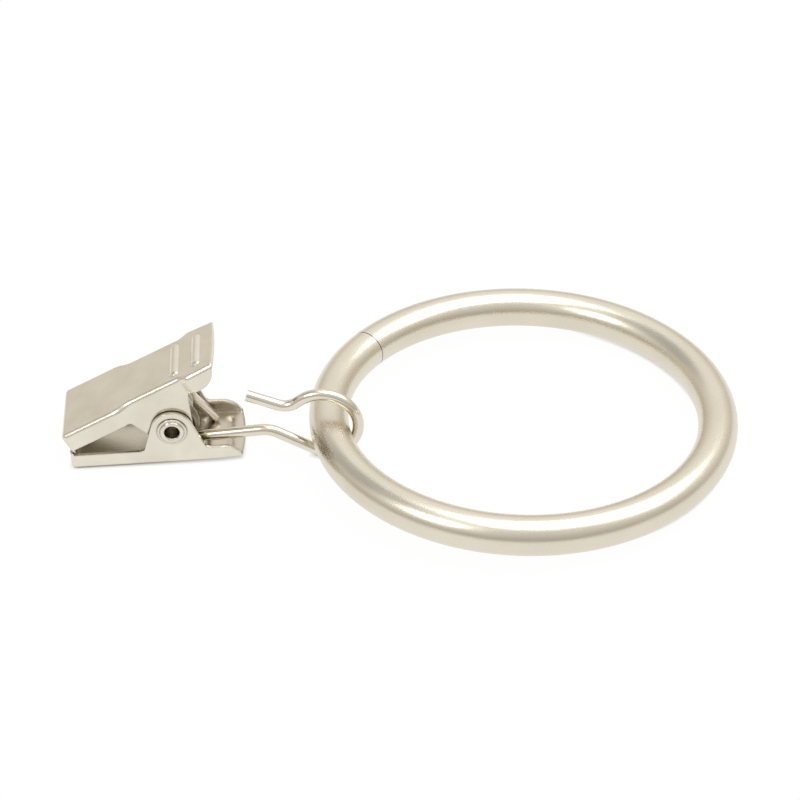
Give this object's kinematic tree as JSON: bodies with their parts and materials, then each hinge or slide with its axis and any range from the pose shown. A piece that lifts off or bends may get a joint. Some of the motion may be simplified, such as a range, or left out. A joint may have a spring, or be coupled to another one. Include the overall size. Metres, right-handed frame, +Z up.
{
  "type": "curtain ring with clip",
  "caption": "Round curtain ring of bent tube; a wire hook round the tube carries a riveted, sprung sheet-metal clip that grips the curtain's top edge.",
  "frame": {"origin": "Centre of the underside of the bounding box, on the table that the part lies on.", "axes": "+X runs from the clip's mouth towards the ring, +Y along the rivet away from the viewer, +Z up."},
  "size_m": [0.0858, 0.0544, 0.015],
  "materials": {
    "satin_nickel": "satin nickel plate on bent steel tube",
    "nickel_wire": "bright nickel plate on drawn steel wire",
    "nickel_sheet": "bright nickel plate on stamped steel sheet",
    "nickel_rivet": "bright nickel plate on a rolled hollow rivet",
    "spring_wire": "bright nickel plate on coiled spring wire"
  },
  "bodies": {
    "ring": {"ring": "satin_nickel"},
    "hook": {"hook": "nickel_wire"},
    "clip": {"lower_jaw": "nickel_sheet", "rivet": "nickel_rivet", "spring": "spring_wire"},
    "jaw": {"upper_jaw": "nickel_sheet"}
  },
  "joints": [
    {"name": "hook_round_tube", "type": "hinge", "parent": "ring", "child": "hook", "pos_m": [-0.00902, -0.00181, 0.00438], "axis": [-0.0732, 0.9973, 0], "continuous": true},
    {"name": "clip_on_hook", "type": "hinge", "parent": "hook", "child": "clip", "pos_m": [-0.02893, 0.00309, 0.00521], "axis": [0, 1, 0], "range_deg": [-9, 10]},
    {"name": "jaw_open", "type": "hinge", "parent": "clip", "child": "jaw", "pos_m": [-0.02893, 0.00309, 0.00521], "axis": [0, 1, 0], "range_deg": [0, 20], "stiffness_Nm_per_rad": 0.1, "springref_deg": -25.78, "deforming": ["spring"]}
  ]
}
